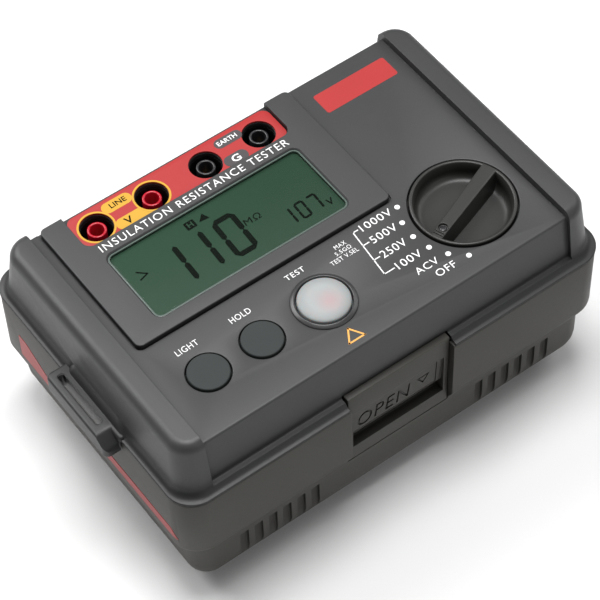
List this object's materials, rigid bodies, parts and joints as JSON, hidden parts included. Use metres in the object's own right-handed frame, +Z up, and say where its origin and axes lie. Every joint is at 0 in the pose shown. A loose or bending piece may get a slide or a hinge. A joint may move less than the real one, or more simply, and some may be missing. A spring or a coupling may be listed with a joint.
{
  "type": "insulation resistance tester",
  "caption": "Hand-held insulation resistance tester: display, sockets, dished selector knob and keys in a housing that sits in a latched lead storage tray with strap lugs.",
  "frame": {"origin": "middle of the footprint, on the surface that the four feet stand on", "axes": "+Z up, -Y towards the user, +X to the user's right along the longest side"},
  "size_m": [0.1602, 0.1, 0.071],
  "materials": {
    "case_grey": "fine grained moulded ABS",
    "panel_grey": "fine grained, printed",
    "case_dark": "fine grained moulded ABS",
    "tray_plastic": "fine grained moulded ABS",
    "case_black": "plain black plastic",
    "jack_red": "smooth red plastic",
    "stripe_red": "satin red inlay",
    "rubber_black": "soft rubber",
    "key_rubber": "smooth silicone rubber",
    "lens_milky": "milky translucent plastic",
    "lens_red": "clear red epoxy",
    "lcd_green": "display glass",
    "window_clear": "clear window",
    "diffuser_white": "light diffuser",
    "label_red": "printed sheet",
    "brass": "turned",
    "steel_bright": "plated steel",
    "cell_wrap": "shrink wrap",
    "board_green": "solder mask",
    "core_yellow": "taped winding",
    "rotor_cream": "moulded",
    "pointer_white": "paint"
  },
  "bodies": {
    "tray": {"storage_tray": "tray_plastic", "stripe_left": "stripe_red", "stripe_right": "stripe_red", "foot_1": "rubber_black", "foot_2": "rubber_black", "foot_3": "rubber_black", "foot_4": "rubber_black"},
    "instrument": {"front_housing": "case_grey", "test_bezel": "case_grey", "display_plate": "panel_grey", "rear_housing": "case_dark", "battery_door": "case_dark", "lcd_frame": "case_dark", "terminal_block": "case_black", "jack_tube_3": "case_black", "jack_tube_4": "case_black", "light_switch": "case_black", "hold_switch": "case_black", "test_switch": "case_black", "rotary_switch_body": "case_black", "buzzer": "case_black", "jack_tube_1": "jack_red", "jack_tube_2": "jack_red", "test_lamp": "lens_red", "lcd_panel": "lcd_green", "lcd_window": "window_clear", "backlight_panel": "diffuser_white", "terminal_label": "label_red", "jack_socket_1": "brass", "jack_socket_2": "brass", "jack_socket_3": "brass", "jack_socket_4": "brass", "housing_screw_1": "steel_bright", "housing_screw_2": "steel_bright", "housing_screw_3": "steel_bright", "housing_screw_4": "steel_bright", "battery_door_screw": "steel_bright", "battery_contact_left": "steel_bright", "battery_contact_right": "steel_bright", "light_spring": "steel_bright", "hold_spring": "steel_bright", "test_spring": "steel_bright", "battery_1": "cell_wrap", "battery_2": "cell_wrap", "battery_3": "cell_wrap", "battery_4": "cell_wrap", "battery_5": "cell_wrap", "battery_6": "cell_wrap", "main_board": "board_green", "step_up_transformer": "core_yellow"},
    "latch": {"latch_tongue": "tray_plastic"},
    "selector": {"selector_knob": "case_dark", "knob_pointer": "pointer_white", "rotary_switch_rotor": "rotor_cream"},
    "light_key": {"light_button": "key_rubber"},
    "hold_key": {"hold_button": "key_rubber"},
    "test_key": {"test_button": "lens_milky"}
  },
  "joints": [
    {"name": "instrument_lift", "type": "slide", "parent": "tray", "child": "instrument", "axis": [0, 0, 1], "range_m": [0, 0.06]},
    {"name": "latch_turn", "type": "hinge", "parent": "tray", "child": "latch", "pos_m": [0, -0.0465, 0.0256], "axis": [1, 0, 0], "range_deg": [0, 8], "stiffness_Nm_per_rad": 0.6, "springref_deg": -2.86},
    {"name": "selector_turn", "type": "hinge", "parent": "instrument", "child": "selector", "pos_m": [0.0435, -0.0211, 0.0683], "axis": [0, 0, 1], "range_deg": [-53.3, 35.5]},
    {"name": "light_press", "type": "slide", "parent": "instrument", "child": "light_key", "axis": [0, 0, -1], "range_m": [0, 0.0015], "stiffness_N_per_m": 700, "springref_m": -0.0008, "deforming": ["light_spring"]},
    {"name": "hold_press", "type": "slide", "parent": "instrument", "child": "hold_key", "axis": [0, 0, -1], "range_m": [0, 0.0015], "stiffness_N_per_m": 700, "springref_m": -0.0008, "deforming": ["hold_spring"]},
    {"name": "test_press", "type": "slide", "parent": "instrument", "child": "test_key", "axis": [0, 0, -1], "range_m": [0, 0.0015], "stiffness_N_per_m": 700, "springref_m": -0.0008, "deforming": ["test_spring"]}
  ]
}
